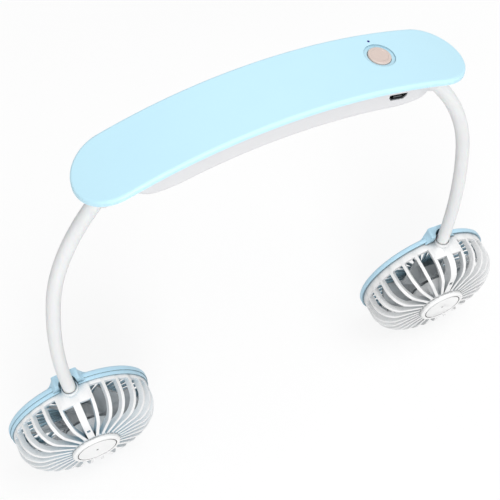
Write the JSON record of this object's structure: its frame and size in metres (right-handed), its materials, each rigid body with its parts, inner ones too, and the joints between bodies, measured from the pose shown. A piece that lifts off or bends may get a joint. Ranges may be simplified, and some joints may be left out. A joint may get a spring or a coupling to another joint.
{
  "type": "electric neck fan",
  "caption": "Arched neck band with two flexible arms, each carrying a round caged fan that turns and tilts, with a push button and a charging inlet.",
  "frame": {"origin": "middle of the band's inner face, where it rests on the neck", "axes": "+X along the band to the arm beside the button, +Z out through the blue cover, +Y the way the fans blow; the arms hang towards -Z"},
  "size_m": [0.2688, 0.036, 0.2335],
  "materials": {
    "blue_cover": "satin moulded ABS",
    "blue_grille": "satin moulded ABS",
    "white_shell": "satin moulded ABS",
    "white_silicone": "matte silicone",
    "button": "fine satin, rose beige",
    "steel": "plain",
    "bronze": "sintered",
    "core_iron": "laminated",
    "smoke_plastic": "clear smoke",
    "board": "solder mask",
    "black_plastic": "moulded",
    "lamp": "tinted clear",
    "cell_foil": "foil pouch",
    "foam": "closed-cell foam",
    "cable": "insulated wire"
  },
  "bodies": {
    "neck_band": {"outer_cover": "blue_cover", "inner_housing": "white_shell", "housing_screws": "steel", "control_board": "board", "tact_switch": "black_plastic", "usb_socket": "steel", "lamp_chip": "black_plastic", "lamp_pipe": "lamp", "battery_cell": "cell_foil", "battery_pad": "foam", "left_ferrule": "white_shell", "right_ferrule": "white_shell", "left_arm_anchor": "steel", "right_arm_anchor": "steel"},
    "power_button": {"power_button": "button"},
    "right_root_link": {"right_arm_root_link": "steel"},
    "right_arm": {"right_arm_spine": "steel", "right_arm_sleeve": "white_silicone", "right_motor_cable": "cable"},
    "right_end_link": {"right_arm_end_link": "steel"},
    "right_fan_head": {"right_head_stem": "steel", "right_rear_cage": "white_shell", "right_front_grille": "blue_grille", "right_hub_cap": "white_shell", "right_motor_can": "steel", "right_motor_bushes": "bronze", "right_motor_screws": "steel"},
    "right_fan_rotor": {"right_impeller": "smoke_plastic", "right_motor_shaft": "steel", "right_motor_armature": "core_iron"},
    "left_root_link": {"left_arm_root_link": "steel"},
    "left_arm": {"left_arm_spine": "steel", "left_arm_sleeve": "white_silicone", "left_motor_cable": "cable"},
    "left_end_link": {"left_arm_end_link": "steel"},
    "left_fan_head": {"left_head_stem": "steel", "left_rear_cage": "white_shell", "left_front_grille": "blue_grille", "left_hub_cap": "white_shell", "left_motor_can": "steel", "left_motor_bushes": "bronze", "left_motor_screws": "steel"},
    "left_fan_rotor": {"left_impeller": "smoke_plastic", "left_motor_shaft": "steel", "left_motor_armature": "core_iron"}
  },
  "joints": [
    {"name": "power_button_press", "type": "slide", "parent": "neck_band", "child": "power_button", "axis": [-0.2079, 0, -0.9781], "range_m": [0, 0.0005], "stiffness_N_per_m": 3000},
    {"name": "right_arm_spread", "type": "hinge", "parent": "neck_band", "child": "right_root_link", "pos_m": [0.0779, 0.00242, -0.02322], "axis": [0, -0.9996, -0.0279], "range_deg": [-5, 45], "deforming": ["right_arm_sleeve", "right_motor_cable"]},
    {"name": "right_arm_swing", "type": "hinge", "parent": "right_root_link", "child": "right_arm", "pos_m": [0.08432, 0.0027, -0.03334], "axis": [0.8704, -0.0137, 0.4922], "range_deg": [-45, 45], "deforming": ["right_arm_sleeve", "right_motor_cable"]},
    {"name": "right_head_turn", "type": "hinge", "parent": "right_arm", "child": "right_end_link", "pos_m": [0.10232, 0.00529, -0.12581], "axis": [0, -0.9996, -0.0279], "range_deg": [-25, 25], "deforming": ["right_arm_sleeve", "right_motor_cable"]},
    {"name": "right_head_tilt", "type": "hinge", "parent": "right_end_link", "child": "right_fan_head", "pos_m": [0.10193, 0.00562, -0.1378], "axis": [0.9986, 0.0015, -0.0523], "range_deg": [-45, 45], "deforming": ["right_arm_sleeve", "right_motor_cable"]},
    {"name": "right_fan_spin", "type": "hinge", "parent": "right_fan_head", "child": "right_fan_rotor", "pos_m": [0.09791, -0.0105, -0.187], "axis": [0.0088, 0.9915, 0.1301], "continuous": true},
    {"name": "left_arm_spread", "type": "hinge", "parent": "neck_band", "child": "left_root_link", "pos_m": [-0.0779, 0.00242, -0.02322], "axis": [0, 0.9996, 0.0279], "range_deg": [-5, 45], "deforming": ["left_arm_sleeve", "left_motor_cable"]},
    {"name": "left_arm_swing", "type": "hinge", "parent": "left_root_link", "child": "left_arm", "pos_m": [-0.08432, 0.0027, -0.03334], "axis": [0.8704, 0.0137, -0.4922], "range_deg": [-45, 45], "deforming": ["left_arm_sleeve", "left_motor_cable"]},
    {"name": "left_head_turn", "type": "hinge", "parent": "left_arm", "child": "left_end_link", "pos_m": [-0.10232, 0.00529, -0.12581], "axis": [0, 0.9996, 0.0279], "range_deg": [-25, 25], "deforming": ["left_arm_sleeve", "left_motor_cable"]},
    {"name": "left_head_tilt", "type": "hinge", "parent": "left_end_link", "child": "left_fan_head", "pos_m": [-0.10193, 0.00562, -0.1378], "axis": [0.9986, -0.0015, 0.0523], "range_deg": [-45, 45], "deforming": ["left_arm_sleeve", "left_motor_cable"]},
    {"name": "left_fan_spin", "type": "hinge", "parent": "left_fan_head", "child": "left_fan_rotor", "pos_m": [-0.09791, -0.0105, -0.187], "axis": [0.0088, -0.9915, -0.1301], "continuous": true}
  ]
}
